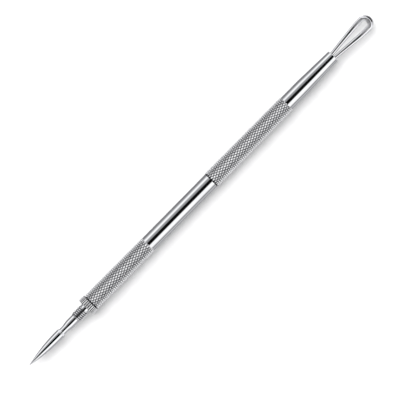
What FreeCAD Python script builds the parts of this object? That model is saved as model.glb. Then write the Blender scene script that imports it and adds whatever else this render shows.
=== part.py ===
"""Blackhead extractor: a knurled steel handle, a wire loop and a reversible screw-in lancet.

Sizes are in millimetres. The tool lies along X with the needle tip at the low end. The source draws
every piece about the X axis with x counted from the needle tip, and the last section places them all
so that the tool lies on z = 0 with its middle over the origin.
"""
import FreeCAD
import Part
import Sketcher
import math
import os

doc = FreeCAD.newDocument("blackhead_extractor")

# Driving sizes
sizes = doc.addObject("Spreadsheet::Sheet", "sizes")
SIZES = [
    ("point_length", 12.9, "ground point, tip to shoulder"),
    ("point_land", 0.9, "straight land behind the ogive"),
    ("point_diameter", 2.8, "largest diameter of the point"),
    ("tip_diameter", 0.16, "blunted end of the point"),
    ("shoulder_length", 0.35, "step from the point down to the waist"),
    ("waist_diameter", 2.2, "grinding relief behind the point"),
    ("waist_length", 0.95, "straight part of the relief"),
    ("flare_length", 2.7, "curve from the relief up to the neck"),
    ("neck_diameter", 2.8, "neck in front of the thread"),
    ("neck_length", 2.1, "straight part of the neck"),
    ("tang_diameter", 1.8, "needle tang inside the holder"),
    ("tang_length", 5.8, "needle tang inside the holder"),
    ("tang_clearance", 0.02, "radial room of the tang in the holder"),
    ("tang_relief", 0.3, "air behind the tang in its blind hole"),
    ("thread_diameter", 3.5, "both threads of the holder"),
    ("thread_length", 3.4, "each thread of the holder"),
    ("thread_chamfer", 0.25, "chamfer on the free end of each thread"),
    ("thread_clearance", 0.03, "radial room of a thread in the tapped mouth"),
    ("relief_diameter", 3.0, "undercut beside the collar"),
    ("relief_length", 0.9, "undercut beside the collar"),
    ("collar_diameter", 5.75, "finger collar over its teeth"),
    ("collar_length", 1.95, "finger collar"),
    ("collar_chamfer", 0.12, "edges of the finger collar"),
    ("collar_teeth", 28, "straight teeth around the finger collar"),
    ("tooth_depth", 0.24, "valley between two collar teeth"),
    ("tooth_gap", 0.5, "width of a valley at the collar surface"),
    ("seat_land", 0.17, "ring of contact between the seat and the handle"),
    ("seat_height", 0.3, "raised seat, seen as a dark seam"),
    ("lower_grip_length", 23.15, "knurled grip beside the collar"),
    ("lower_grip_wide", 5.37, "lower grip over the knurl, needle end"),
    ("lower_grip_slim", 5.12, "lower grip over the knurl, loop end"),
    ("waist_bar_length", 25.7, "smooth bar between the grips"),
    ("bar_diameter", 4.85, "smooth bar between the grips"),
    ("upper_grip_length", 30.8, "knurled grip beside the nose"),
    ("upper_grip_wide", 5.35, "upper grip over the knurl, needle end"),
    ("upper_grip_slim", 5.12, "upper grip over the knurl, loop end"),
    ("knurl_starts", 20, "spiral grooves of each hand around a grip"),
    ("knurl_repeat", 1.42, "length of one diamond along the tool"),
    ("knurl_depth", 0.24, "crest to valley of a diamond"),
    ("core_margin", 0.17, "solid bar starts this far under the knurl"),
    ("nose_diameter", 4.6, "straight part of the nose"),
    ("nose_length", 6.8, "straight part of the nose"),
    ("taper_length", 12.5, "tapered part of the nose"),
    ("nose_end_diameter", 3.78, "end of the tapered nose"),
    ("nose_rounding", 0.25, "rounded edge at the end of the nose"),
    ("mouth_room", 0.9, "tapped mouth beyond the end of the stud"),
    ("mouth_chamfer", 0.2, "countersink of the tapped mouth"),
    ("store_clearance", 0.075, "radial room of the stored point and neck"),
    ("store_room", 1.9, "bore beyond the tip of the stored point"),
    ("store_cone", 0.85, "drill point at the end of the bore"),
    ("braze_film", 0.09, "braze between the legs and the socket wall"),
    ("socket_depth", 9.0, "hole for the legs of the loop"),
    ("wire_diameter", 1.2, "round wire of the loop"),
    ("leg_gap", 0.1, "between the two legs in the socket"),
    ("leg_end_room", 0.4, "braze behind the ends of the legs"),
    ("leg_bow", 2.38, "reach of the slow curve between leg and end bend"),
    ("leg_bend", 0.6, "reach of the bend in each leg at the nose"),
    ("loop_length", 15.5, "loop outside the handle"),
    ("loop_width", 4.87, "loop over its widest part"),
    ("flank_width", 1.58, "flattened wire at the widest part"),
    ("flank_thickness", 0.92, "flattened wire at the widest part"),
    ("end_width", 1.9, "flattened wire at the end of the loop"),
    ("end_thickness", 0.76, "flattened wire at the end of the loop"),
]
for row, (alias, value, meaning) in enumerate(SIZES, start=1):
    sizes.set("A%d" % row, str(value))
    sizes.setAlias("A%d" % row, alias)
    sizes.set("B%d" % row, meaning)

# Stations along the tool and radii, all worked out from the driving sizes
stations = doc.addObject("Spreadsheet::Sheet", "stations")
STATIONS = [
    ("tip_radius", "sizes.tip_diameter / 2"),
    ("point_radius", "sizes.point_diameter / 2"),
    ("waist_radius", "sizes.waist_diameter / 2"),
    ("neck_radius", "sizes.neck_diameter / 2"),
    ("flare_middle_radius", "(sizes.waist_diameter + sizes.neck_diameter) / 4"),
    ("tang_radius", "sizes.tang_diameter / 2"),
    ("tang_hole_radius", "sizes.tang_diameter / 2 + sizes.tang_clearance"),
    ("thread_radius", "sizes.thread_diameter / 2"),
    ("thread_end_radius", "sizes.thread_diameter / 2 - sizes.thread_chamfer"),
    ("relief_radius", "sizes.relief_diameter / 2"),
    ("collar_radius", "sizes.collar_diameter / 2"),
    ("collar_edge_radius", "sizes.collar_diameter / 2 - sizes.collar_chamfer"),
    ("tooth_root_radius", "sizes.collar_diameter / 2 - sizes.tooth_depth"),
    ("tooth_gap_half", "sizes.tooth_gap / 2"),
    ("tooth_cut_radius", "sizes.collar_diameter / 2 + sizes.tooth_depth"),
    ("bar_radius", "sizes.bar_diameter / 2"),
    ("nose_radius", "sizes.nose_diameter / 2"),
    ("nose_end_radius", "sizes.nose_end_diameter / 2"),
    ("mouth_radius", "sizes.thread_diameter / 2 + sizes.thread_clearance"),
    ("mouth_wide_radius", "mouth_radius + sizes.mouth_chamfer"),
    ("seat_radius", "mouth_wide_radius + sizes.seat_land"),
    ("grip_slim", "min(sizes.lower_grip_slim; sizes.upper_grip_slim)"),
    ("core_radius", "grip_slim / 2 - sizes.knurl_depth - sizes.core_margin"),
    ("stored_diameter", "max(sizes.point_diameter; sizes.neck_diameter)"),
    ("store_radius", "stored_diameter / 2 + sizes.store_clearance"),
    ("socket_radius", "sizes.wire_diameter + sizes.leg_gap / 2 + sizes.braze_film"),
    ("ogive_end", "sizes.point_length - sizes.point_land"),
    ("waist_start", "sizes.point_length + sizes.shoulder_length"),
    ("flare_start", "waist_start + sizes.waist_length"),
    ("flare_middle", "flare_start + sizes.flare_length / 2"),
    ("neck_start", "flare_start + sizes.flare_length"),
    ("thread_start", "neck_start + sizes.neck_length"),
    ("thread_crest_start", "thread_start + sizes.thread_chamfer"),
    ("tang_end", "thread_start + sizes.tang_length"),
    ("tang_hole_end", "tang_end + sizes.tang_relief"),
    ("relief_start", "thread_start + sizes.thread_length"),
    ("collar_start", "relief_start + sizes.relief_length"),
    ("collar_crest_start", "collar_start + sizes.collar_chamfer"),
    ("collar_end", "collar_start + sizes.collar_length"),
    ("collar_crest_end", "collar_end - sizes.collar_chamfer"),
    ("handle_start", "collar_end + sizes.seat_height"),
    ("stud_thread_start", "handle_start + sizes.relief_length"),
    ("stud_end", "stud_thread_start + sizes.thread_length"),
    ("stud_crest_end", "stud_end - sizes.thread_chamfer"),
    ("lower_grip_end", "handle_start + sizes.lower_grip_length"),
    ("upper_grip_start", "lower_grip_end + sizes.waist_bar_length"),
    ("upper_grip_end", "upper_grip_start + sizes.upper_grip_length"),
    ("taper_start", "upper_grip_end + sizes.nose_length"),
    ("nose_end", "taper_start + sizes.taper_length"),
    ("mouth_chamfer_end", "handle_start + sizes.mouth_chamfer"),
    ("mouth_end", "stud_end + sizes.mouth_room"),
    ("store_end", "handle_start + collar_start + sizes.store_room"),
    ("store_tip", "store_end + sizes.store_cone"),
    ("socket_end", "nose_end - sizes.socket_depth"),
    ("leg_end", "socket_end + sizes.leg_end_room"),
    ("loop_end", "nose_end + sizes.loop_length"),
    ("leg_height", "(sizes.wire_diameter + sizes.leg_gap) / 2"),
    ("wire_radius", "sizes.wire_diameter / 2"),
    ("flank_height", "(sizes.loop_width - sizes.flank_width) / 2"),
    ("loop_centre", "loop_end - sizes.end_width / 2 - flank_height"),
    ("leg_reach", "loop_centre - nose_end - sizes.leg_bow"),
    ("leg_angle", "atan((flank_height - leg_height) / leg_reach)"),
    ("bend_start", "nose_end - sizes.leg_bend"),
    ("bend_end", "nose_end + sizes.leg_bend * cos(leg_angle)"),
    ("bend_end_height", "leg_height + sizes.leg_bend * sin(leg_angle)"),
    ("bow_start", "loop_centre - sizes.leg_bow - sizes.leg_bow * cos(leg_angle)"),
    ("bow_start_height", "flank_height - sizes.leg_bow * sin(leg_angle)"),
    ("loop_tip_centre", "loop_centre + flank_height"),
]
for row, (alias, formula) in enumerate(STATIONS, start=1):
    stations.set("A%d" % row, "=" + formula)
    stations.setAlias("A%d" % row, alias)
    doc.recompute()

SIZE_NAMES = [entry[0] for entry in SIZES]


def link(alias):
    """The expression that reads one named size or station."""
    sheet = "sizes" if alias in SIZE_NAMES else "stations"
    return sheet + "." + alias


def number(alias):
    """The present value of one named size or station."""
    sheet = sizes if alias in SIZE_NAMES else stations
    return float(getattr(sheet, alias))


def origin_feature(body, role):
    """One plane or axis of a body's own origin."""
    for feature in body.Origin.OriginFeatures:
        if feature.Role == role:
            return feature


def new_sketch(body, name, role):
    """A sketch on one of the body's origin planes."""
    sketch = body.newObject("Sketcher::SketchObject", name)
    sketch.AttachmentSupport = (origin_feature(body, role), [""])
    sketch.MapMode = "FlatFace"
    return sketch


def pin_point(sketch, geometry, end, across, up):
    """Hold one end of a line at named coordinates; None is the axis itself."""
    if across is None:
        sketch.addConstraint(Sketcher.Constraint("PointOnObject", geometry, end, -2))
    else:
        value = number(across)
        item = sketch.addConstraint(Sketcher.Constraint("DistanceX", -1, 1, geometry, end, value))
        sketch.setExpression("Constraints[%d]" % item, link(across))
    if up is None:
        sketch.addConstraint(Sketcher.Constraint("PointOnObject", geometry, end, -1))
    else:
        value = number(up)
        item = sketch.addConstraint(Sketcher.Constraint("DistanceY", -1, 1, geometry, end, value))
        sketch.setExpression("Constraints[%d]" % item, link(up))


def place_of(corner):
    """A corner's present coordinates in its sketch."""
    across = 0.0 if corner[0] is None else number(corner[0])
    up = 0.0 if corner[1] is None else number(corner[1])
    return FreeCAD.Vector(across, up, 0)


def level_arc(start, end, level_at_end):
    """An arc between two points that runs level at one of them."""
    level, other = (end, start) if level_at_end else (start, end)
    run = other.x - level.x
    rise = other.y - level.y
    reach = (run * run + rise * rise) / (2 * rise)
    centre = FreeCAD.Vector(level.x, level.y + reach, 0)
    radius = abs(reach)
    angles = [math.atan2(p.y - centre.y, p.x - centre.x) for p in (start, end)]
    middle = (angles[0] + angles[1]) / 2
    if abs(angles[0] - angles[1]) > math.pi:
        middle += math.pi
    crown = centre + FreeCAD.Vector(math.cos(middle), math.sin(middle), 0) * radius
    return Part.Arc(start, crown, end)


def draw_profile(sketch, corners, closed=True):
    """An outline through named corners; a corner's third word bends the edge that leaves it.

    "ends level" and "starts level" are arcs that run level at that end.
    """
    count = len(corners)
    edge_count = count if closed else count - 1
    edges = []
    for index in range(edge_count):
        start = place_of(corners[index])
        end = place_of(corners[(index + 1) % count])
        bend = corners[index][2] if len(corners[index]) > 2 else None
        if bend:
            arc = level_arc(start, end, bend == "ends level")
            item = sketch.addGeometry(arc, False)
            # The stored arc runs anticlockwise, so its first point may be the edge's end
            first = sketch.getPoint(item, 1)
            forward = first.distanceToPoint(start) < first.distanceToPoint(end)
            edges.append((item, 1 if forward else 2, 2 if forward else 1, bend))
        else:
            item = sketch.addGeometry(Part.LineSegment(start, end), False)
            edges.append((item, 1, 2, None))
    for index in range(edge_count):
        item, first, last, bend = edges[index]
        if closed or index < edge_count - 1:
            following = edges[(index + 1) % edge_count]
            joint = Sketcher.Constraint("Coincident", item, last, following[0], following[1])
            sketch.addConstraint(joint)
        else:
            pin_point(sketch, item, last, corners[count - 1][0], corners[count - 1][1])
        pin_point(sketch, item, first, corners[index][0], corners[index][1])
        if bend:
            # The centre stands straight above or below the end that runs level
            level = last if bend == "ends level" else first
            sketch.addConstraint(Sketcher.Constraint("Vertical", item, level, item, 3))


def turned_body(name, corners):
    """A body turned about the X axis from a closed half outline."""
    body = doc.addObject("PartDesign::Body", name)
    body.Label = name
    sketch = new_sketch(body, name + "_outline", "XZ_Plane")
    draw_profile(sketch, corners)
    doc.recompute()
    turned = body.newObject("PartDesign::Revolution", name + "_turned")
    turned.Profile = sketch
    turned.ReferenceAxis = (sketch, ["H_Axis"])
    turned.Angle = 360
    body.Tip = turned
    doc.recompute()
    return body


# Needle: ogive point, grinding relief, neck and the tang that is pressed into the holder
needle = turned_body("lancet_needle", [
    (None, None),
    (None, "tip_radius", "ends level"),
    ("ogive_end", "point_radius"),
    ("point_length", "point_radius"),
    ("waist_start", "waist_radius"),
    ("flare_start", "waist_radius", "starts level"),
    ("flare_middle", "flare_middle_radius", "ends level"),
    ("neck_start", "neck_radius"),
    ("thread_start", "neck_radius"),
    ("thread_start", "tang_radius"),
    ("tang_end", "tang_radius"),
    ("tang_end", None),
])

# Holder: a toothed finger collar between two equal threaded studs
holder = turned_body("lancet_holder", [
    ("thread_start", "tang_hole_radius"),
    ("thread_start", "thread_end_radius"),
    ("thread_crest_start", "thread_radius"),
    ("relief_start", "thread_radius"),
    ("relief_start", "relief_radius"),
    ("collar_start", "relief_radius"),
    ("collar_start", "collar_edge_radius"),
    ("collar_crest_start", "collar_radius"),
    ("collar_crest_end", "collar_radius"),
    ("collar_end", "collar_edge_radius"),
    ("collar_end", "seat_radius"),
    ("handle_start", "seat_radius"),
    ("handle_start", "relief_radius"),
    ("stud_thread_start", "relief_radius"),
    ("stud_thread_start", "thread_radius"),
    ("stud_crest_end", "thread_radius"),
    ("stud_end", "thread_end_radius"),
    ("stud_end", None),
    ("tang_hole_end", None),
    ("tang_hole_end", "tang_hole_radius"),
])

# Straight teeth of the collar: one valley cut along it and repeated around it
valley = new_sketch(holder, "collar_valley", "YZ_Plane")
half_tooth = FreeCAD.Rotation(FreeCAD.Vector(0, 0, 1), 180 / number("collar_teeth"))
valley.AttachmentOffset = FreeCAD.Placement(FreeCAD.Vector(0, 0, 0), half_tooth)
valley.setExpression("AttachmentOffset.Base.z", link("collar_start"))
valley.setExpression("AttachmentOffset.Rotation.Angle", "180 / " + link("collar_teeth"))
doc.recompute()
root = FreeCAD.Vector(0, number("tooth_root_radius"), 0)
right = FreeCAD.Vector(number("tooth_gap_half") * 2, number("tooth_cut_radius"), 0)
left = FreeCAD.Vector(-right.x, right.y, 0)
valley.addGeometry(Part.LineSegment(root, right), False)
valley.addGeometry(Part.LineSegment(right, left), False)
valley.addGeometry(Part.LineSegment(left, root), False)
for edge in range(3):
    valley.addConstraint(Sketcher.Constraint("Coincident", edge, 2, (edge + 1) % 3, 1))
valley.addConstraint(Sketcher.Constraint("Symmetric", 1, 1, 1, 2, -2))
pin_point(valley, 0, 1, None, "tooth_root_radius")
height = valley.addConstraint(Sketcher.Constraint("DistanceY", -1, 1, 1, 1, right.y))
valley.setExpression("Constraints[%d]" % height, link("tooth_cut_radius"))
width = valley.addConstraint(Sketcher.Constraint("DistanceX", 1, 2, 1, 1, 2 * right.x))
valley.setExpression("Constraints[%d]" % width, "2 * " + link("tooth_gap"))
doc.recompute()
cut = holder.newObject("PartDesign::Pocket", "collar_valley_cut")
cut.Profile = valley
cut.Reversed = True
cut.setExpression("Length", link("collar_length"))
holder.Tip = cut
doc.recompute()
teeth = holder.newObject("PartDesign::PolarPattern", "collar_teeth_round")
teeth.Originals = [cut]
teeth.Axis = (origin_feature(holder, "X_Axis"), [""])
teeth.Angle = 360
teeth.setExpression("Occurrences", link("collar_teeth"))
holder.Tip = teeth
doc.recompute()

# Handle: the turned bar, without its knurl and its holes
bar = turned_body("handle_bar", [
    ("handle_start", None),
    ("handle_start", "core_radius"),
    ("lower_grip_end", "core_radius"),
    ("lower_grip_end", "bar_radius"),
    ("upper_grip_start", "bar_radius"),
    ("upper_grip_start", "core_radius"),
    ("upper_grip_end", "core_radius"),
    ("upper_grip_end", "nose_radius"),
    ("taper_start", "nose_radius"),
    ("nose_end", "nose_end_radius"),
    ("nose_end", None),
])
bar_turned = bar.Tip
edge_names = []
for index, edge in enumerate(bar_turned.Shape.Edges, start=1):
    circle = edge.Curve
    if circle.TypeId != "Part::GeomCircle":
        continue
    at_end = abs(circle.Center.x - number("nose_end")) < 1e-6
    if at_end and abs(circle.Radius - number("nose_end_radius")) < 1e-6:
        edge_names.append("Edge%d" % index)
rounding = bar.newObject("PartDesign::Fillet", "nose_rounding")
rounding.Base = (bar_turned, edge_names)
rounding.setExpression("Radius", link("nose_rounding"))
bar.Tip = rounding
doc.recompute()


def diamond_knurl(name, start, end, wide, slim, start_is_cut, end_is_cut):
    """A grip band whose two families of spiral grooves leave rows of diamonds.

    Crests and valleys alternate around each ring and along each line of the band, so four flat facets
    meet at every crest. A band end that is cut shows the diamonds in section; the other end runs out
    at the surface of the smooth bar.
    """
    starts = int(number("knurl_starts"))
    columns = 2 * starts
    length = number(end) - number(start)
    rows = 2 * max(2, round(length / number("knurl_repeat")))
    run_out = number("bar_radius") / math.cos(math.pi / columns) + 0.002
    points = []
    for row in range(rows + 1):
        share = row / rows
        crest = (number(wide) + (number(slim) - number(wide)) * share) / 2
        fades = (row == 0 and not start_is_cut) or (row == rows and not end_is_cut)
        for column in range(columns):
            radius = crest if (row + column) % 2 == 0 else crest - number("knurl_depth")
            if fades:
                radius = run_out
            turn = 2 * math.pi * column / columns
            across = radius * math.cos(turn)
            up = radius * math.sin(turn)
            points.append(FreeCAD.Vector(number(start) + length * share, across, up))
    facets = []
    for row in range(rows):
        for column in range(columns):
            near = row * columns + column
            beside = row * columns + (column + 1) % columns
            far = near + columns
            far_beside = beside + columns
            if (row + column) % 2 == 0:
                facets.append((near, beside, far))
                facets.append((beside, far_beside, far))
            else:
                facets.append((near, beside, far_beside))
                facets.append((near, far_beside, far))
    skin = Part.Shape()
    skin.makeShapeFromMesh((points, facets), 0.0005)
    faces = list(skin.Faces)
    for row in (0, rows):
        ring = points[row * columns:(row + 1) * columns]
        faces.append(Part.Face(Part.makePolygon(ring + ring[:1])))
    shell = Part.makeShell(faces)
    shell.sewShape()
    band = doc.addObject("Part::Feature", name)
    band.Shape = Part.makeSolid(shell)
    return band


lower_knurl = diamond_knurl(
    "lower_knurl", "handle_start", "lower_grip_end", "lower_grip_wide", "lower_grip_slim", True, False)
upper_knurl = diamond_knurl(
    "upper_knurl", "upper_grip_start", "upper_grip_end", "upper_grip_wide", "upper_grip_slim", False, True)

# Holes of the handle: tapped mouth and needle store at one end, loop socket at the other
needle_store = turned_body("needle_store", [
    ("handle_start", None),
    ("handle_start", "mouth_wide_radius"),
    ("mouth_chamfer_end", "mouth_radius"),
    ("mouth_end", "mouth_radius"),
    ("mouth_end", "store_radius"),
    ("store_end", "store_radius"),
    ("store_tip", None),
])
loop_socket = turned_body("loop_socket", [
    ("socket_end", None),
    ("socket_end", "socket_radius"),
    ("nose_end", "socket_radius"),
    ("nose_end", None),
])

# Loop: one leg and half of the bend, swept from round wire to a flattened end, then mirrored
path = doc.addObject("Sketcher::SketchObject", "loop_path")
draw_profile(path, [
    ("leg_end", "leg_height"),
    ("bend_start", "leg_height", "starts level"),
    ("bend_end", "bend_end_height"),
    ("bow_start", "bow_start_height", "ends level"),
    ("loop_centre", "flank_height", "starts level"),
    ("loop_tip_centre", None),
], closed=False)
doc.recompute()


def wire_section(name, across, up, turn, wide, thick):
    """An ellipse across the path, wide in the plane of the loop."""
    section = doc.addObject("Part::Ellipse", name)
    section.Placement = FreeCAD.Placement(FreeCAD.Vector(0, 0, 0), turn)
    section.setExpression("Placement.Base.x", link(across))
    if up:
        section.setExpression("Placement.Base.y", link(up))
    section.setExpression("MajorRadius", link(wide) + " / 2")
    section.setExpression("MinorRadius", link(thick) + " / 2")
    return section


along = FreeCAD.Rotation(FreeCAD.Vector(1, 1, 1), 120)
across_tip = FreeCAD.Rotation(FreeCAD.Vector(1, 0, 0), 90)
sections = [
    wire_section("leg_end_section", "leg_end", "leg_height", along, "wire_diameter", "wire_diameter"),
    wire_section("leg_section", "bend_start", "leg_height", along, "wire_diameter", "wire_diameter"),
    wire_section("flank_section", "loop_centre", "flank_height", along, "flank_width", "flank_thickness"),
    wire_section("end_section", "loop_tip_centre", None, across_tip, "end_width", "end_thickness"),
]
doc.recompute()
half = doc.addObject("Part::Sweep", "loop_half")
half.Sections = sections
half.Spine = (path, ["Edge%d" % (index + 1) for index in range(len(path.Shape.Edges))])
half.Solid = True
half.Frenet = False
doc.recompute()
mirrored = doc.addObject("Part::Mirroring", "loop_other_half")
mirrored.Source = half
mirrored.Normal = FreeCAD.Vector(0, 1, 0)
loop = doc.addObject("Part::MultiFuse", "extractor_loop")
loop.Shapes = [half, mirrored]
loop.Label = "extractor_loop"

# Braze: what is left of the socket around the two legs
braze_blank = turned_body("braze_blank", [
    ("socket_end", None),
    ("socket_end", "socket_radius"),
    ("nose_end", "socket_radius"),
    ("nose_end", None),
])

# One frame for every piece: the middle of the tool over the origin, the collar resting on z = 0
for piece in (needle, holder, bar, lower_knurl, upper_knurl, needle_store, loop_socket, braze_blank, loop):
    piece.setExpression("Placement.Base.x", "-" + link("loop_end") + " / 2")
    piece.setExpression("Placement.Base.z", link("collar_radius"))
doc.recompute()

knurled = doc.addObject("Part::MultiFuse", "knurled_bar")
knurled.Shapes = [bar, lower_knurl, upper_knurl]
knurled.Refine = False
bored = doc.addObject("Part::Cut", "bored_bar")
bored.Base = knurled
bored.Tool = needle_store
bored.Refine = False
handle = doc.addObject("Part::Cut", "handle")
handle.Base = bored
handle.Tool = loop_socket
handle.Refine = False
handle.Label = "handle"
braze = doc.addObject("Part::Cut", "loop_braze")
braze.Base = braze_blank
braze.Tool = loop
braze.Label = "loop_braze"
doc.recompute()

# Every object must have recomputed and hold a sound shape before anything is written
for item in doc.Objects:
    if "Invalid" in item.State or "Error" in item.State:
        raise RuntimeError(item.Name + " did not recompute")
    if hasattr(item, "Shape") and item.TypeId not in ("App::Line", "App::Plane", "App::Point"):
        if item.Shape.isNull() or not item.Shape.isValid():
            raise RuntimeError(item.Name + " has no sound shape")
PIECES = [handle, loop, braze, needle, holder]
os.makedirs("parts", exist_ok=True)
for piece in PIECES:
    if len(piece.Shape.Solids) != 1:
        raise RuntimeError(piece.Label + " is not one solid")
    piece.Shape.exportStep("parts/" + piece.Label + ".step")
for piece in PIECES:
    print(piece.Label, round(piece.Shape.Volume, 3), piece.Shape.optimalBoundingBox(True, False))
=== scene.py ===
"""Looks of the blackhead extractor: a knurled steel handle, a flattened wire loop and a screw-in lancet."""
import math
import bmesh
import bpy
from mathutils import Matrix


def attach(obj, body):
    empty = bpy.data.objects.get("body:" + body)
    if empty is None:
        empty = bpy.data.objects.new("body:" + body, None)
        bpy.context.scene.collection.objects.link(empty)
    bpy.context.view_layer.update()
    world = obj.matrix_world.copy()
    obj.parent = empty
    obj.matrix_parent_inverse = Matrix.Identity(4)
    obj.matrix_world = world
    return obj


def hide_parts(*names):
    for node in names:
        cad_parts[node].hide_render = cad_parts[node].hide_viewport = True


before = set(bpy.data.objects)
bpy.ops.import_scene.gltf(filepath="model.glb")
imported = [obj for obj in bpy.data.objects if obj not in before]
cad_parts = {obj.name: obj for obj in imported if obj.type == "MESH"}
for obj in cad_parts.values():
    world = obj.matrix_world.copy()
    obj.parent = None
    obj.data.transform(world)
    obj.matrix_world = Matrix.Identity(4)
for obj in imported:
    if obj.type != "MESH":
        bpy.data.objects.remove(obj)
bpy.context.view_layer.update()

# Sizes in millimetres, in the frame's own places: x runs from the needle tip to the loop
MM = 0.001
FULL_TURN = 2 * math.pi
AXIS = 2.875  # height of the tool's axis above the table
NEAR = 0.01  # a point closer than this to a place counts as lying there

# Needle: point, step, relief, flared neck, and the tang inside the holder
NEEDLE_TIP, POINT_END, STEP_START, STEP_END = -70.0, -58.0, -57.2, -56.5
RELIEF_END, NECK_MIDDLE, NECK_END = -55.8, -54.45, -53.1
TIP_RADIUS, NEEDLE_RADIUS, RELIEF_RADIUS, NECK_RADIUS = 0.08, 1.4, 1.1, 1.25
TANG_END, TANG_RADIUS, TANG_PLAY, TANG_HOLE_SPARE = -45.2, 0.9, 0.02, 0.3

# Holder: two threaded studs, each with a plain shank beside the collar, and the collar's seat on the handle
HOLDER_START, HOLDER_END = -51.0, -40.15
FRONT_SHANK, BACK_SHANK, SHANK_RADIUS = -47.6, -43.55, 1.5
THREAD_RADIUS, ROOT_RADIUS, CORE_RADIUS = 1.75, 1.49, 1.4
THREAD_PITCH, THREAD_PLAY, THREAD_CHAMFER = 0.6, 0.05, 0.3
RISE_START, CREST_START, CREST_END, FALL_END = 0.1, 0.25, 0.35, 0.5  # one tooth along the pitch
THREAD_STEPS = 72  # to a turn
COLLAR_START, COLLAR_END, COLLAR_RADIUS = -46.7, -44.75, 2.8747
COLLAR_CHAMFER, SEAT_RADIUS = 0.12, 2.15
EDGE_RADIUS = COLLAR_RADIUS - COLLAR_CHAMFER
TEETH, TOOTH_DEPTH, TOOTH_POINTS = 28, 0.24, 6

# Handle: mouth, two grips, waist and nose; a grip's two numbers are its widths over the crests at its ends
HANDLE_FACE, MOUTH_RADIUS, MOUTH_RIM = -44.45, 2.0, 2.28
TAP_START, TAP_END = -44.15, -39.3
STORE_MOUTH, STORE_FLOOR, STORE_TIP, STORE_RADIUS = -39.25, -19.25, -18.4, 1.475
LOWER_GRIP_END, UPPER_GRIP_START, UPPER_GRIP_END = -21.3, 4.4, 35.2
LOWER_GRIP, UPPER_GRIP = (5.37, 5.12), (5.35, 5.12)
KNURL_STARTS, KNURL_REPEAT, KNURL_DEPTH = 20, 1.42, 0.24
CREST_ROUNDING, RUN_OUT_LIP = 0.17, 0.008
CUT_CHAMFER, CUT_REACH = 0.12, 0.962  # its length, and the share of the reach that it leaves
BAR_RADIUS, NOSE_RADIUS = 2.425, 2.3
TAPER_START, NOSE_END, NOSE_FACE, NOSE_ROUNDING = 42.0, 54.5, 1.64, 0.25
SOCKET_RADIUS, SOCKET_END = 1.34, 45.5

# Loop: half width and half thickness of the wire at its legs, on its flanks and at its end
LEG_WIRE, FLANK_WIRE, END_WIRE = (0.6, 0.6), (0.79, 0.46), (0.95, 0.38)
PRESS_START, FLANK = 8.0, 21.6  # along the wire, from either of its ends
WIRE_SIDES, WIRE_STEPS = 40, 240
# Its bevel and its dish are made in three passes, each over a shorter zone on both sides of the wire's middle
BEVEL_ZONES, DISH_ZONES, DISH_LEAN = (3.0, 2.4, 1.8), (3.9, 3.3, 2.7), 1.5
BEVEL_ROWS = ((63, 0.0077), (54, 0.0115), (45, 0.0113), (36, 0.007))  # degrees round the section, and drop
# Its satin face: where it fades in along the tool, and its outer edge, which moves inwards near the end
SATIN_START, SATIN_FULL, SATIN_EDGE, SATIN_FADE = 63.0, 67.0, 0.32, 0.12
EDGE_SHIFT, SHIFT_START, SHIFT_END = 0.4, 66.5, 68.3

# Sides of the turned pieces and of the tools that cut them, and the angle up to which faces are shaded smooth
BAR_SIDES, BORE_SIDES, NEEDLE_SIDES, STUD_SIDES, SMALL_SIDES = 160, 144, 96, 96, 64
SMOOTH_BELOW = 30


# Workbench: one primitive at a time, opened for editing, picked by place, closed and put on its body

def start_piece(name, make, **shape):
    """Adds one primitive with nothing else selected and opens it for editing."""
    if bpy.context.mode != "OBJECT":
        bpy.ops.object.mode_set(mode="OBJECT")
    bpy.ops.object.select_all(action="DESELECT")
    make(**shape)
    piece = bpy.context.object
    piece.name = piece.data.name = name
    bpy.ops.object.transform_apply(location=True, rotation=True, scale=True)
    bpy.ops.object.mode_set(mode="EDIT")
    return piece


def polar(spot):
    """A point's place along the tool, its reach from the axis and its turn round it from the top."""
    x, y, z = spot.x / MM, spot.y / MM, spot.z / MM - AXIS
    return x, math.hypot(y, z), math.atan2(y, z)


def between(value, start, end):
    """How far a value has come from a start to an end, from 0 to 1."""
    return min(1.0, max(0.0, (value - start) / (end - start)))


def pick(piece, wanted, rim=False):
    """Selects the points of the open piece, or of its open rims, whose place passes a test."""
    bpy.ops.mesh.select_mode(type="VERT")
    bpy.ops.mesh.select_all(action="DESELECT")
    mesh = bmesh.from_edit_mesh(piece.data)
    for point in mesh.verts:
        if (point.is_boundary or not rim) and wanted(*polar(point.co)):
            point.select = True
    mesh.select_flush(True)
    bmesh.update_edit_mesh(piece.data)


def move(x=0.0, y=0.0, z=0.0):
    """The shift, in metres, that a move or an extrusion is given."""
    return {"value": (x * MM, y * MM, z * MM)}


def swell(factor):
    """Scales the selection away from the tool's axis."""
    bpy.ops.transform.resize(value=(1, factor, factor), center_override=(0, 0, AXIS * MM))


def clean():
    """Merges doubles and turns every face outwards."""
    bpy.ops.mesh.select_all(action="SELECT")
    bpy.ops.mesh.remove_doubles(threshold=2e-7)
    bpy.ops.mesh.normals_make_consistent(inside=False)
    if bmesh.from_edit_mesh(bpy.context.object.data).calc_volume(signed=True) < 0:
        bpy.ops.mesh.flip_normals()


def draw(name, outline, height=AXIS):
    """A half outline drawn point by point above the axis."""
    x, radius = outline[0]
    piece = start_piece(name, bpy.ops.mesh.primitive_plane_add, size=MM,
                        location=(x * MM, 0, (height + radius) * MM))
    bpy.ops.mesh.merge(type="CENTER")
    for (x0, r0), (x1, r1) in zip(outline, outline[1:]):
        bpy.ops.mesh.extrude_vertices_move(TRANSFORM_OT_translate=move(x1 - x0, 0, r1 - r0))
    return piece


def turn(name, outline, sides):
    """A turned piece: a half outline spun round the tool's axis."""
    piece = draw(name, outline)
    bpy.ops.mesh.select_all(action="SELECT")
    bpy.ops.mesh.spin(steps=sides, angle=FULL_TURN, center=(0, 0, AXIS * MM), axis=(1, 0, 0))
    clean()
    return piece


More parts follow.
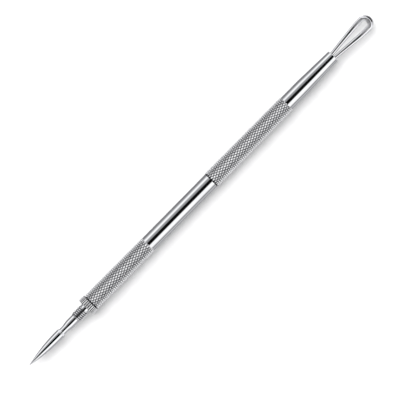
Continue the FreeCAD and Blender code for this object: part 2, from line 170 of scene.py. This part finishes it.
def level_curve(start, end, steps, level_at_end=True):
    """Outline points on the arc between two places that runs level at one of them."""
    level, other = (end, start) if level_at_end else (start, end)
    run, rise = other[0] - level[0], other[1] - level[1]
    reach = (run * run + rise * rise) / (2 * rise)
    points = []
    for step in range(1, steps):
        x = start[0] + (end[0] - start[0]) * step / steps
        drop = math.sqrt(reach * reach - (x - level[0]) ** 2)
        points.append((x, level[1] + reach - math.copysign(drop, reach)))
    return [start] + points + [end]


def round_edges(radius, sharper_than, segments):
    """Rounds every edge of the open piece that is sharper than an angle."""
    bpy.ops.mesh.select_mode(type="EDGE")
    bpy.ops.mesh.select_all(action="DESELECT")
    bpy.ops.mesh.edges_select_sharp(sharpness=math.radians(sharper_than))
    bpy.ops.mesh.bevel(offset=radius * MM, segments=segments, affect="EDGES", clamp_overlap=True)
    bpy.ops.mesh.select_mode(type="VERT")


def wind_thread(name, start, end, play, capped):
    """One tooth of the thread wound along a stud or a bore and cut square at both ends."""
    first = HANDLE_FACE + THREAD_PITCH * (math.floor((start - HANDLE_FACE) / THREAD_PITCH) - 2)
    low, high = ROOT_RADIUS + play, THREAD_RADIUS + play
    piece = draw(name, [
        (first, low), (first + RISE_START, low), (first + CREST_START, high), (first + CREST_END, high),
        (first + FALL_END, low), (first + THREAD_PITCH, low)], height=0)
    bpy.ops.object.mode_set(mode="OBJECT")
    winding = piece.modifiers.new("winding", "SCREW")
    winding.axis, winding.screw_offset = "X", THREAD_PITCH * MM
    winding.iterations = math.ceil((end - start) / THREAD_PITCH) + 4
    winding.steps = winding.render_steps = THREAD_STEPS
    bpy.ops.object.modifier_apply(modifier=winding.name)
    bpy.ops.object.mode_set(mode="EDIT")
    clean()
    bpy.ops.transform.translate(**move(0, 0, AXIS))
    for place, inner in ((start, True), (end, False)):
        bpy.ops.mesh.select_all(action="SELECT")
        bpy.ops.mesh.bisect(plane_co=(place * MM, 0, 0), plane_no=(1, 0, 0), use_fill=capped,
                            threshold=1e-8, clear_inner=inner, clear_outer=not inner)
    clean()
    return piece


def combine(piece, tool, operation):
    """Adds, cuts or keeps what two closed meshes share, and drops the tool."""
    bpy.ops.object.mode_set(mode="OBJECT")
    bpy.ops.object.select_all(action="DESELECT")
    piece.select_set(True)
    bpy.context.view_layer.objects.active = piece
    joint = piece.modifiers.new("combine", "BOOLEAN")
    joint.operation, joint.object, joint.solver = operation, tool, "EXACT"
    bpy.ops.object.modifier_apply(modifier=joint.name)
    bpy.data.objects.remove(tool)
    bpy.ops.object.mode_set(mode="EDIT")


def join(name, parts):
    """Makes one open mesh of several."""
    if bpy.context.mode != "OBJECT":
        bpy.ops.object.mode_set(mode="OBJECT")
    bpy.ops.object.select_all(action="DESELECT")
    for part in parts:
        part.select_set(True)
    bpy.context.view_layer.objects.active = parts[0]
    bpy.ops.object.join()
    parts[0].name = parts[0].data.name = name
    bpy.ops.object.mode_set(mode="EDIT")
    return parts[0]


def mark(piece, name, measure):
    """Stores a number from 0 to 1 at every point of a piece, for its material to read."""
    layer = piece.data.attributes.new(name, "FLOAT", "POINT")
    for point, spot in zip(piece.data.vertices, layer.data):
        spot.value = between(measure(*polar(point.co)), 0.0, 1.0)


def set_down(piece, node, body, materials):
    """Closes a piece, shades it, gives it its materials and puts it on its body in place of its node."""
    clean()
    bpy.ops.object.mode_set(mode="OBJECT")
    bpy.ops.object.shade_smooth_by_angle(angle=math.radians(SMOOTH_BELOW))
    for material in materials:
        piece.data.materials.append(material)
    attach(piece, body)
    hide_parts(node)


# Materials

def linear(hex_colour):
    """An sRGB hex value as the linear colour that the shader takes."""
    parts = [int(hex_colour[i:i + 2], 16) / 255 for i in (1, 3, 5)]
    return tuple(p / 12.92 if p <= 0.04045 else ((p + 0.055) / 1.055) ** 2.4 for p in parts) + (1.0,)


def add(tree, kind, inputs=None, stops=None, **settings):
    """One node with its settings, its ramp stops, and its inputs as values or links."""
    node = tree.nodes.new(kind)
    for key, value in settings.items():
        setattr(node, key, value)
    for key, value in (inputs or {}).items():
        if isinstance(value, bpy.types.NodeSocket):
            tree.links.new(value, node.inputs[key])
        else:
            node.inputs[key].default_value = value
    if stops:
        ramp = node.color_ramp
        while len(ramp.elements) > 1:
            ramp.elements.remove(ramp.elements[-1])
        ramp.elements[0].position, ramp.elements[0].color = stops[0][0], linear(stops[0][1])
        for place, colour in stops[1:]:
            ramp.elements.new(place).color = linear(colour)
    return node


def blank_material(name):
    """A material with an empty tree, and the tree."""
    material = bpy.data.materials.new(name)
    material.use_nodes = True
    material.node_tree.nodes.clear()
    return material, material.node_tree


def per_mm(x, y, z):
    """The scale of a pattern that repeats every so many millimetres along each axis."""
    return (1 / (x * MM), 1 / (y * MM), 1 / (z * MM))


def turned_steel(name, dark, light, smooth, rough, line):
    """Stainless steel turned and then buffed on a wheel: nearly a mirror, with faint rings round the bar.

    The rings are hundredths of a millimetre apart on the real bar, and are drawn coarser so that they show.
    """
    material, tree = blank_material(name)
    place = add(tree, "ShaderNodeTexCoord").outputs["Object"]
    ring_place = add(tree, "ShaderNodeMapping", {"Vector": place, "Scale": per_mm(line, 9, 9)})
    rings = add(tree, "ShaderNodeTexNoise", {"Vector": ring_place.outputs[0], "Scale": 1.0, "Detail": 3.0})
    film_place = add(tree, "ShaderNodeMapping", {"Vector": place, "Scale": per_mm(6, 4, 4)})
    film = add(tree, "ShaderNodeTexNoise", {"Vector": film_place.outputs[0], "Scale": 1.0, "Detail": 4.0})
    both = add(tree, "ShaderNodeMath", {0: rings.outputs["Fac"], 1: film.outputs["Fac"]},
               operation="MULTIPLY")
    gloss = add(tree, "ShaderNodeMapRange", {
        "Value": both.outputs[0], "From Min": 0.1, "From Max": 0.45, "To Min": smooth, "To Max": rough})
    tint = add(tree, "ShaderNodeValToRGB", {"Fac": film.outputs["Fac"]}, stops=[(0.3, dark), (0.7, light)])
    relief = add(tree, "ShaderNodeBump", {
        "Height": rings.outputs["Fac"], "Strength": 0.1, "Distance": 0.01 * MM})
    shader = add(tree, "ShaderNodeBsdfPrincipled", {
        "Base Color": tint.outputs["Color"], "Metallic": 1.0, "Roughness": gloss.outputs[0],
        "Normal": relief.outputs[0]})
    add(tree, "ShaderNodeOutputMaterial", {"Surface": shader.outputs[0]})
    return material


def grooved_steel(name, stops, valley_rough, crest_rough):
    """Steel with a rolled or cut relief, coloured by height: painted shade darkens the valleys and painted
    highlights whiten the crests; the valleys are also rougher.

    The relief itself is in the mesh; the number kept at its points says how high each place stands.
    """
    material, tree = blank_material(name)
    place = add(tree, "ShaderNodeTexCoord").outputs["Object"]
    crest = add(tree, "ShaderNodeAttribute", attribute_name="crest", attribute_type="GEOMETRY").outputs["Fac"]
    grain_place = add(tree, "ShaderNodeMapping", {"Vector": place, "Scale": per_mm(0.16, 0.16, 0.16)})
    grain = add(tree, "ShaderNodeTexNoise", {"Vector": grain_place.outputs[0], "Scale": 1.0, "Detail": 2.0})
    # The crest height, with a little random grain, sets both the colour (painted shade and painted highlight)
    # and the roughness
    painted_light_height = add(tree, "ShaderNodeMath", {0: grain.outputs["Fac"], 1: 0.14, 2: crest}, operation="MULTIPLY_ADD")
    height = add(tree, "ShaderNodeMath", {0: painted_light_height.outputs[0], 1: 0.07}, operation="SUBTRACT")
    tint = add(tree, "ShaderNodeValToRGB", {"Fac": height.outputs[0]}, stops=stops)
    gloss = add(tree, "ShaderNodeMapRange", {
        "Value": height.outputs[0], "To Min": valley_rough, "To Max": crest_rough})
    relief = add(tree, "ShaderNodeBump", {
        "Height": grain.outputs["Fac"], "Strength": 0.12, "Distance": 0.03 * MM})
    shader = add(tree, "ShaderNodeBsdfPrincipled", {
        "Base Color": tint.outputs["Color"], "Metallic": 1.0, "Roughness": gloss.outputs[0],
        "Normal": relief.outputs[0]})
    add(tree, "ShaderNodeOutputMaterial", {"Surface": shader.outputs[0]})
    return material


polished = turned_steel("buffed_turned_stainless", "#CACBCD", "#D3D4D5", 0.05, 0.11, 0.12)
ground = turned_steel("ground_hardened_steel", "#CCCDCF", "#D6D6D8", 0.04, 0.09, 0.09)
# Their ramps run from near black at the groove bottoms to near white on the crests: painted shade and painted
# highlights, not the steel's own colour
knurled = grooved_steel("rolled_knurl_stainless", [
    (0.0, "#2A2A2C"), (0.15, "#797A7C"), (0.32, "#CACBCD"), (0.6, "#FAFAFB"), (0.85, "#FFFFFF")], 0.75, 0.2)
ribbed = grooved_steel("straight_ribbed_stainless", [
    (0.0, "#1E1E20"), (0.4, "#6E6F71"), (0.8, "#D0D1D2"), (1.0, "#F0F0F1")], 0.5, 0.4)
threaded = grooved_steel("screw_cut_stainless", [
    (0.0, "#7A7A7D"), (0.3, "#BCBDBF"), (0.7, "#EAEBEC"), (1.0, "#F4F4F5")], 0.3, 0.12)

# Drawn spring wire: a mirror with faint lines along it, and a satin face where the press has flattened it
wire_steel, tree = blank_material("drawn_and_pressed_wire")
place = add(tree, "ShaderNodeTexCoord").outputs["Object"]
line_place = add(tree, "ShaderNodeMapping", {"Vector": place, "Scale": per_mm(4, 0.12, 0.12)})
lines = add(tree, "ShaderNodeTexNoise", {"Vector": line_place.outputs[0], "Scale": 1.0, "Detail": 2.0})
satin = add(tree, "ShaderNodeAttribute", attribute_name="pressed", attribute_type="GEOMETRY").outputs["Fac"]
draw_gloss = add(tree, "ShaderNodeMapRange", {
    "Value": lines.outputs["Fac"], "To Min": 0.04, "To Max": 0.14})
gloss = add(tree, "ShaderNodeMath", {0: satin, 1: 0.42, 2: draw_gloss.outputs[0]}, operation="MULTIPLY_ADD")
tint = add(tree, "ShaderNodeValToRGB", {"Fac": lines.outputs["Fac"]}, stops=[
    (0.3, "#CACBCD"), (0.7, "#D6D6D8")])
relief = add(tree, "ShaderNodeBump", {
    "Height": lines.outputs["Fac"], "Strength": 0.08, "Distance": 0.01 * MM})
shader = add(tree, "ShaderNodeBsdfPrincipled", {
    "Base Color": tint.outputs["Color"], "Metallic": 1.0, "Roughness": gloss.outputs[0],
    "Normal": relief.outputs[0]})
add(tree, "ShaderNodeOutputMaterial", {"Surface": shader.outputs[0]})

# Silver braze, run in with a torch: warm grey, dull, with a slightly rippled skin
silver_braze, tree = blank_material("torch_run_silver_braze")
place = add(tree, "ShaderNodeTexCoord").outputs["Object"]
ripple_place = add(tree, "ShaderNodeMapping", {"Vector": place, "Scale": per_mm(0.35, 0.35, 0.35)})
ripple = add(tree, "ShaderNodeTexNoise", {"Vector": ripple_place.outputs[0], "Scale": 1.0, "Detail": 3.0})
tint = add(tree, "ShaderNodeValToRGB", {"Fac": ripple.outputs["Fac"]}, stops=[
    (0.3, "#A9A595"), (0.7, "#CBC7B8")])
gloss = add(tree, "ShaderNodeMapRange", {"Value": ripple.outputs["Fac"], "To Min": 0.3, "To Max": 0.5})
relief = add(tree, "ShaderNodeBump", {
    "Height": ripple.outputs["Fac"], "Strength": 0.4, "Distance": 0.08 * MM})
shader = add(tree, "ShaderNodeBsdfPrincipled", {
    "Base Color": tint.outputs["Color"], "Metallic": 1.0, "Roughness": gloss.outputs[0],
    "Normal": relief.outputs[0]})
add(tree, "ShaderNodeOutputMaterial", {"Surface": shader.outputs[0]})


# Handle: turned mouth, waist and nose, with a rolled band of diamonds between each two

def knurl_floor(grip, way):
    """Reach of the groove bottoms part of the way along a grip."""
    return (grip[0] + (grip[1] - grip[0]) * way) / 2 - KNURL_DEPTH


def knurl_band(name, start, end, grip, cut_at_start):
    """A band of diamonds: rings of points, every second one raised, creased along the grooves."""
    rows = 2 * round((end - start) / KNURL_REPEAT)
    columns = 2 * KNURL_STARTS
    pitch = (end - start) / rows
    run_out, cut_row = (rows, 0) if cut_at_start else (0, rows)
    reach = [knurl_floor(grip, row / rows) for row in range(rows + 1)]
    reach[run_out] = BAR_RADIUS + RUN_OUT_LIP
    band = start_piece(name, bpy.ops.mesh.primitive_circle_add, vertices=columns, radius=reach[0] * MM,
                       location=(start * MM, 0, AXIS * MM), rotation=(0, math.pi / 2, 0))
    for row in range(rows):
        bpy.ops.mesh.extrude_region_move(TRANSFORM_OT_translate=move(pitch))
        swell(reach[row + 1] / reach[row])

    def crest(x, radius, angle):
        row = round((x - start) / pitch)
        return row != run_out and (row + round(angle / FULL_TURN * columns)) % 2 == 0

    pick(band, crest)
    swell(sum(grip) / (sum(grip) - 4 * KNURL_DEPTH))
    bpy.ops.mesh.select_all(action="SELECT")
    bpy.ops.mesh.quads_convert_to_tris(quad_method="SHORTEST_DIAGONAL")
    pick(band, lambda x, radius, angle: crest(x, radius, angle) and round((x - start) / pitch) != cut_row)
    bpy.ops.mesh.bevel(offset=CREST_ROUNDING * MM, segments=2, affect="VERTICES")
    # The cut end is broken by a small chamfer
    cut, inward = (start, CUT_CHAMFER) if cut_at_start else (end, -CUT_CHAMFER)
    pick(band, lambda x, radius, angle: abs(x - cut) < NEAR)
    bpy.ops.transform.translate(**move(inward))
    bpy.ops.mesh.extrude_region_move(TRANSFORM_OT_translate=move(-inward))
    swell(CUT_REACH)
    return band


def knurl_height(x, radius, angle):
    """How high a point of the handle stands between a groove bottom and a crest."""
    if HANDLE_FACE - NEAR < x < LOWER_GRIP_END:
        floor = knurl_floor(LOWER_GRIP, (x - HANDLE_FACE) / (LOWER_GRIP_END - HANDLE_FACE))
    else:
        floor = knurl_floor(UPPER_GRIP, (x - UPPER_GRIP_START) / (UPPER_GRIP_END - UPPER_GRIP_START))
    return (radius - floor) / KNURL_DEPTH


store = turn("needle_store", [
    (STORE_TIP, 0.0), (STORE_FLOOR, STORE_RADIUS), (STORE_MOUTH, STORE_RADIUS),
    (STORE_MOUTH, STORE_RADIUS + 0.025)], BORE_SIDES)
face = turn("mouth_face", [
    (TAP_START - 0.05, THREAD_RADIUS + 0.01), (HANDLE_FACE, MOUTH_RADIUS), (HANDLE_FACE, MOUTH_RIM)],
    BORE_SIDES)
tapped = wind_thread("tapped_mouth", TAP_START, TAP_END, THREAD_PLAY, capped=False)
waist = turn("waist", [
    (LOWER_GRIP_END + 0.06, BAR_RADIUS), (UPPER_GRIP_START - 0.06, BAR_RADIUS)], BAR_SIDES)
rounding = [(NOSE_END - NOSE_ROUNDING + NOSE_ROUNDING * math.sin(a), NOSE_FACE + NOSE_ROUNDING * math.cos(a))
            for a in (math.radians(d) for d in range(2, 91, 8))]
nose_start = [(UPPER_GRIP_END, NOSE_RADIUS - 0.002), (TAPER_START - 0.1, NOSE_RADIUS),
              (TAPER_START + 0.1, NOSE_RADIUS - 0.003)]
nose = turn("nose", nose_start + rounding + [
    (NOSE_END, SOCKET_RADIUS), (SOCKET_END, SOCKET_RADIUS), (SOCKET_END, 0.0)], BAR_SIDES)
lower = knurl_band("lower_band", HANDLE_FACE, LOWER_GRIP_END, LOWER_GRIP, True)
upper = knurl_band("upper_band", UPPER_GRIP_START, UPPER_GRIP_END, UPPER_GRIP, False)
handle = join("knurled_handle", [waist, store, face, tapped, nose, lower, upper])
# The parts are sewn together where their open rims meet, first inside the bore, then outside
for seam, within in ((STORE_MOUTH, 2.0), (TAP_START, 2.0), (HANDLE_FACE, 3.0), (LOWER_GRIP_END, 3.0),
                     (UPPER_GRIP_START, 3.0), (UPPER_GRIP_END, 3.0)):
    pick(handle, lambda x, radius, angle: abs(x - seam) < 0.1 and radius < within, rim=True)
    bpy.ops.mesh.bridge_edge_loops()
set_down(handle, "handle", "handle", [polished, knurled])
# This height colours the knurl: painted shade in its grooves and on the low points of its cut chamfer by the
# collar, and painted highlights on its crests
mark(handle, "crest", knurl_height)
for facet in handle.data.polygons:
    x, radius, angle = polar(facet.center)
    on_grip = HANDLE_FACE - NEAR < x < LOWER_GRIP_END or UPPER_GRIP_START < x < UPPER_GRIP_END + NEAR
    # The mouth's flat end face stays polished
    if on_grip and radius > MOUTH_RIM - NEAR and facet.normal.x > -0.9:
        facet.material_index = 1

# Needle: ogive point, grinding relief, flared neck and the tang inside the holder
outline = [(NEEDLE_TIP, 0.0)] + level_curve((NEEDLE_TIP, TIP_RADIUS), (POINT_END, NEEDLE_RADIUS), 40)
outline += [(STEP_START, NEEDLE_RADIUS), (STEP_END, RELIEF_RADIUS)]
outline += level_curve((RELIEF_END, RELIEF_RADIUS), (NECK_MIDDLE, NECK_RADIUS), 12, level_at_end=False)
outline += level_curve((NECK_MIDDLE, NECK_RADIUS), (NECK_END, NEEDLE_RADIUS), 12)[1:]
outline += [(HOLDER_START, NEEDLE_RADIUS), (HOLDER_START, TANG_RADIUS)]
outline += [(TANG_END, TANG_RADIUS), (TANG_END, 0.0)]
needle = turn("lancet_point", outline, NEEDLE_SIDES)
round_edges(0.05, sharper_than=20, segments=3)
set_down(needle, "lancet_needle", "lancet_needle", [ground])


# Holder: a toothed finger collar between two threaded studs

def stud_thread(name, start, end, free_end):
    """A stud's thread, chamfered at its free end by an envelope that reaches past its other end."""
    piece = wind_thread(name, start, end, 0.0, capped=True)
    half_length = end - start - 1
    centre = free_end - half_length if free_end == end else free_end + half_length
    envelope = start_piece("envelope", bpy.ops.mesh.primitive_cylinder_add, vertices=STUD_SIDES,
                           radius=(THREAD_RADIUS + 0.05) * MM, depth=2 * half_length * MM,
                           rotation=(0, math.pi / 2, 0), location=(centre * MM, 0, AXIS * MM))
    pick(envelope, lambda x, radius, angle: abs(x - free_end) < NEAR)
    bpy.ops.mesh.bevel(offset=THREAD_CHAMFER * MM, segments=1, affect="EDGES")
    combine(piece, envelope, "INTERSECT")
    return piece


def tooth_height(x, radius, angle):
    """How high a point of the holder stands above the bottom of its thread or of its collar's valleys."""
    if COLLAR_START - NEAR < x < HANDLE_FACE:
        return (radius - COLLAR_RADIUS + TOOTH_DEPTH) / TOOTH_DEPTH
    return (radius - ROOT_RADIUS) / (THREAD_RADIUS - ROOT_RADIUS)


holder = turn("lancet_collar", [
    (HOLDER_START + 0.1, 0.0), (HOLDER_START + 0.1, CORE_RADIUS), (FRONT_SHANK - 0.05, CORE_RADIUS),
    (FRONT_SHANK, SHANK_RADIUS), (COLLAR_START, SHANK_RADIUS), (COLLAR_START, EDGE_RADIUS),
    (COLLAR_START + COLLAR_CHAMFER, COLLAR_RADIUS), (COLLAR_END - COLLAR_CHAMFER, COLLAR_RADIUS),
    (COLLAR_END, EDGE_RADIUS), (COLLAR_END, SEAT_RADIUS), (HANDLE_FACE, SEAT_RADIUS),
    (HANDLE_FACE, SHANK_RADIUS), (BACK_SHANK, SHANK_RADIUS), (BACK_SHANK + 0.05, CORE_RADIUS),
    (HOLDER_END - 0.1, CORE_RADIUS), (HOLDER_END - 0.1, 0.0)], TOOTH_POINTS * TEETH)
# Of each tooth's six lines one is the valley and its two neighbours lie half way down
valley = COLLAR_RADIUS - TOOTH_DEPTH
for lowered, depth in (((3,), 1.0), ((2, 4), 0.5)):
    for reach in (EDGE_RADIUS, COLLAR_RADIUS):
        pick(holder, lambda x, radius, angle: abs(radius - reach) < NEAR
             and round(angle / FULL_TURN * TOOTH_POINTS * TEETH) % TOOTH_POINTS in lowered)
        swell(1 - depth * (reach - valley) / reach)
round_edges(0.03, sharper_than=24, segments=2)
for thread in (stud_thread("front_thread", HOLDER_START, FRONT_SHANK + 0.03, HOLDER_START),
               stud_thread("back_thread", BACK_SHANK - 0.03, HOLDER_END, HOLDER_END)):
    combine(holder, thread, "UNION")
hole = start_piece("tang_hole", bpy.ops.mesh.primitive_cylinder_add, vertices=SMALL_SIDES,
                   radius=(TANG_RADIUS + TANG_PLAY) * MM,
                   depth=(TANG_END - HOLDER_START + 2 * TANG_HOLE_SPARE) * MM,
                   rotation=(0, math.pi / 2, 0), location=((HOLDER_START + TANG_END) / 2 * MM, 0, AXIS * MM))
combine(holder, hole, "DIFFERENCE")
set_down(holder, "lancet_holder", "lancet_holder", [polished, threaded, ribbed])
mark(holder, "crest", tooth_height)
for facet in holder.data.polygons:
    x, radius, angle = polar(facet.center)
    if radius > CORE_RADIUS and (x < FRONT_SHANK or x > BACK_SHANK):
        facet.material_index = 1
    # The collar's back face and its seat lie below the tooth valleys, so they take the ribbed ramp's darkest
    # colour: a painted shadow in the gap to the handle
    elif x > COLLAR_START + 2 * NEAR and radius > SEAT_RADIUS - 0.05:
        facet.material_index = 2

# Loop: a straight wire, pressed flatter towards its middle, then bent round to a pear shape
BENDS = [  # place, and the handles of the curve on each side of it
    ((45.9, 0.65), (43.2, 0.65), (48.6, 0.65)),
    ((53.9, 0.65), (51.2, 0.65), (54.3, 0.65)),
    ((55.097, 0.7065), (54.7, 0.669), (57.6, 0.943)),
    ((62.656, 1.421), (60.15, 1.184), (64.23, 1.570)),
    ((67.405, 1.645), (65.82, 1.645), (68.3135, 1.645)),
    ((69.05, 0.0), (69.05, 0.9085), (69.05, -0.9085)),
]
END_CENTRE, END_RADIUS = BENDS[-2][0]
bends = BENDS + [((p[0], -p[1]), (b[0], -b[1]), (a[0], -a[1])) for p, a, b in reversed(BENDS[:-1])]
former = bpy.data.curves.new("loop_former", "CURVE")
former.dimensions, former.twist_mode, former.resolution_u = "3D", "Z_UP", 64
spline = former.splines.new("BEZIER")
spline.bezier_points.add(len(bends) - 1)
for point, (place, before, after) in zip(spline.bezier_points, bends):
    point.handle_left_type = point.handle_right_type = "FREE"
    point.co = (place[0] * MM, place[1] * MM, AXIS * MM)
    point.handle_left = (before[0] * MM, before[1] * MM, AXIS * MM)
    point.handle_right = (after[0] * MM, after[1] * MM, AXIS * MM)
former = bpy.data.objects.new("loop_former", former)
bpy.context.scene.collection.objects.link(former)
wire_length = spline.calc_length() / MM
wire_middle = wire_length / 2


def pressed(place):
    """Half width and half thickness of the wire at a place along it."""
    inward = min(place, wire_length - place)
    if inward < FLANK:
        before, after, way = LEG_WIRE, FLANK_WIRE, between(inward, PRESS_START, FLANK)
    else:
        before, after, way = FLANK_WIRE, END_WIRE, between(inward, FLANK, wire_middle)
    ease = way * way * (3 - 2 * way)
    return before[0] + (after[0] - before[0]) * ease, before[1] + (after[1] - before[1]) * ease


def section_turn(x, radius, angle):
    """Degrees of a point of the straight wire round its own section, from its outer edge upwards.

    The straight wire still lies at height 0, so the height of the tool's axis is added back.
    """
    width, thickness = pressed(x)
    upwards = (radius * math.cos(angle) + AXIS) / thickness
    outwards = radius * math.sin(angle) / width
    return math.degrees(math.atan2(upwards, outwards))


def press_mark(x, radius, angle):
    """How far the press has dulled the wire: towards its end, but not on the outer part of its width."""
    across = abs(radius * math.sin(angle))
    outward = math.hypot(max(0.0, x - END_CENTRE), across) - END_RADIUS
    limit = SATIN_EDGE - EDGE_SHIFT * between(x, SHIFT_START, SHIFT_END)
    return between(x, SATIN_START, SATIN_FULL) * between(limit - outward, 0.0, SATIN_FADE)


loop = start_piece("extractor_wire", bpy.ops.mesh.primitive_circle_add, vertices=WIRE_SIDES,
                   radius=LEG_WIRE[0] * MM, rotation=(0, math.pi / 2, 0))
sections = [pressed(wire_length * i / WIRE_STEPS) for i in range(WIRE_STEPS + 1)]
for (w0, t0), (w1, t1) in zip(sections, sections[1:]):
    bpy.ops.mesh.extrude_region_move(TRANSFORM_OT_translate=move(wire_length / WIRE_STEPS))
    bpy.ops.transform.resize(value=(1, w1 / w0, t1 / t0), center_override=(0, 0, 0))
bpy.ops.mesh.select_all(action="SELECT")
bpy.ops.mesh.select_non_manifold()
bpy.ops.mesh.edge_face_add()
# The outer edge round the loop's end is ground to a flat bevel that fades out towards the legs
for half_zone in BEVEL_ZONES:
    for row, drop in BEVEL_ROWS:
        pick(loop, lambda x, radius, angle: abs(x - wire_middle) < half_zone
             and abs(section_turn(x, radius, angle) - row) < 1)
        bpy.ops.transform.translate(**move(0, 0, -drop))
# The end is also dished: its sections lean a little, so that its top falls outwards
for half_zone in DISH_ZONES:
    pick(loop, lambda x, radius, angle: abs(x - wire_middle) < half_zone)
    bpy.ops.transform.rotate(value=math.radians(DISH_LEAN), orient_axis="X", center_override=(0, 0, 0))
bpy.ops.object.mode_set(mode="OBJECT")
bend = loop.modifiers.new("bend", "CURVE")
bend.object, bend.deform_axis = former, "POS_X"
bpy.ops.object.modifier_apply(modifier=bend.name)
bpy.data.objects.remove(former)
bpy.ops.object.mode_set(mode="EDIT")
set_down(loop, "extractor_loop", "handle", [wire_steel])
mark(loop, "pressed", press_mark)

# Braze: the fillet that holds the two legs in the nose
braze = turn("braze_fillet", [
    (SOCKET_END, 0.0), (SOCKET_END, SOCKET_RADIUS), (NOSE_END - 0.06, SOCKET_RADIUS), (NOSE_END - 0.1, 1.2),
    (NOSE_END - 0.1, 0.9), (NOSE_END, 0.5), (NOSE_END, 0.0)], SMALL_SIDES)
set_down(braze, "loop_braze", "handle", [silver_braze])

# Table: a sheet of matt white paper, whose fibres are drawn coarser than they are so that they show
floor = start_piece("table", bpy.ops.mesh.primitive_plane_add, size=1.6)
bpy.ops.object.mode_set(mode="OBJECT")
paper, tree = blank_material("matt_white_paper")
place = add(tree, "ShaderNodeTexCoord").outputs["Object"]
fibre_place = add(tree, "ShaderNodeMapping", {"Vector": place, "Scale": per_mm(3, 3, 3)})
fibre = add(tree, "ShaderNodeTexNoise", {"Vector": fibre_place.outputs[0], "Scale": 1.0, "Detail": 4.0})
tint = add(tree, "ShaderNodeValToRGB", {"Fac": fibre.outputs["Fac"]}, stops=[
    (0.3, "#E0E0E0"), (0.7, "#E5E5E5")])
shader = add(tree, "ShaderNodeBsdfPrincipled", {
    "Base Color": tint.outputs["Color"], "Roughness": 0.95, "Specular IOR Level": 0.1})
add(tree, "ShaderNodeOutputMaterial", {"Surface": shader.outputs[0]})
floor.data.materials.append(paper)
floor.visible_glossy = False


# Light: long soft boxes on both sides of a dark gap overhead, and a soft key from the upper left

def share(angle):
    """Where an angle from overhead, positive towards the lower right, falls on the ramp."""
    return 0.5 + angle / 360


world = bpy.data.worlds.new("strip_light_studio")
bpy.context.scene.world = world
world.use_nodes = True
tree = world.node_tree
tree.nodes.clear()
place = add(tree, "ShaderNodeTexCoord")
parts = add(tree, "ShaderNodeSeparateXYZ", {"Vector": place.outputs["Generated"]})
side = add(tree, "ShaderNodeMath", {0: parts.outputs["Y"], 1: parts.outputs["Z"]}, operation="ARCTAN2")
round_share = add(tree, "ShaderNodeMapRange", {
    "Value": side.outputs[0], "From Min": math.pi, "From Max": -math.pi})
bands = add(tree, "ShaderNodeValToRGB", {"Fac": round_share.outputs[0]}, stops=[
    (share(-180), "#78787A"), (share(-115), "#7C7C7E"), (share(-95), "#98989A"), (share(-84), "#D0D0D2"),
    (share(-74), "#F8F8F8"), (share(-60), "#FFFFFF"), (share(-52), "#C8C8CA"), (share(-44), "#9C9C9E"),
    (share(-24), "#868688"), (share(-18), "#040404"), (share(18), "#040404"), (share(23), "#C0C0C0"),
    (share(28), "#FAFAFA"), (share(60), "#FFFFFF"), (share(72), "#E0E0E0"), (share(82), "#A0A0A2"),
    (share(88), "#868688"), (share(94), "#868688"), (share(102), "#B2B2B4"), (share(124), "#B2B2B4"),
    (share(136), "#7E7E80"), (share(148), "#7E7E80"), (share(160), "#A8A8AA"), (share(180), "#A8A8AA")])
# Past the tool's ends: a grey wall behind the needle, and behind the loop a light one, brightest at its top
wall_start = add(tree, "ShaderNodeMapRange", {
    "Value": parts.outputs["X"], "From Min": -0.62, "From Max": -0.85, "To Max": 0.6},
    interpolation_type="SMOOTHSTEP")
walled = add(tree, "ShaderNodeMix", {
    "Factor": wall_start.outputs[0], "A": bands.outputs["Color"], "B": linear("#A0A0A2")}, data_type="RGBA")
light_start = add(tree, "ShaderNodeMapRange", {
    "Value": parts.outputs["X"], "From Min": 0.24, "From Max": 0.33, "To Max": 0.85},
    interpolation_type="SMOOTHSTEP")
wall_light = add(tree, "ShaderNodeValToRGB", {"Fac": parts.outputs["X"]}, stops=[
    (0.5, "#F0F0F2"), (0.6, "#B8B8BA")])
lit = add(tree, "ShaderNodeMix", {
    "Factor": light_start.outputs[0], "A": walled.outputs["Result"], "B": wall_light.outputs["Color"]},
    data_type="RGBA")
# High on the light wall hangs a dark card that narrows upwards
off_axis = add(tree, "ShaderNodeMath", {0: parts.outputs["Y"]}, operation="ABSOLUTE")
card_reach = add(tree, "ShaderNodeMath", {0: off_axis.outputs[0], 1: -0.6, 2: parts.outputs["X"]},
                 operation="MULTIPLY_ADD")
card_edge = add(tree, "ShaderNodeMapRange", {
    "Value": card_reach.outputs[0], "From Min": 0.44, "From Max": 0.5}, interpolation_type="SMOOTHSTEP")
card_foot = add(tree, "ShaderNodeMapRange", {
    "Value": parts.outputs["Z"], "From Min": 0.48, "From Max": 0.58, "To Max": card_edge.outputs[0]})
studio = add(tree, "ShaderNodeMix", {
    "Factor": card_foot.outputs[0], "A": lit.outputs["Result"], "B": linear("#050505")}, data_type="RGBA")
light = add(tree, "ShaderNodeBackground", {"Color": studio.outputs["Result"], "Strength": 1.62})
add(tree, "ShaderNodeOutputWorld", {"Surface": light.outputs[0]})

key = bpy.data.lights.new("soft_key", "SUN")
key.energy, key.angle = 3.4, 1.0
key = bpy.data.objects.new("soft_key", key)
key.rotation_euler = (math.radians(-31), 0, 0)
key.visible_glossy = False
bpy.context.scene.collection.objects.link(key)

camera = bpy.data.cameras.new("from_above")
camera.lens, camera.sensor_width, camera.clip_end = 200, 36, 10
camera = bpy.data.objects.new("from_above", camera)
camera.location = (-0.001838, -0.001690, 0.641)
camera.rotation_euler = (0, 0, math.radians(-45.5))
bpy.context.scene.collection.objects.link(camera)
bpy.context.scene.camera = camera
bpy.context.scene.view_settings.view_transform = "Standard"
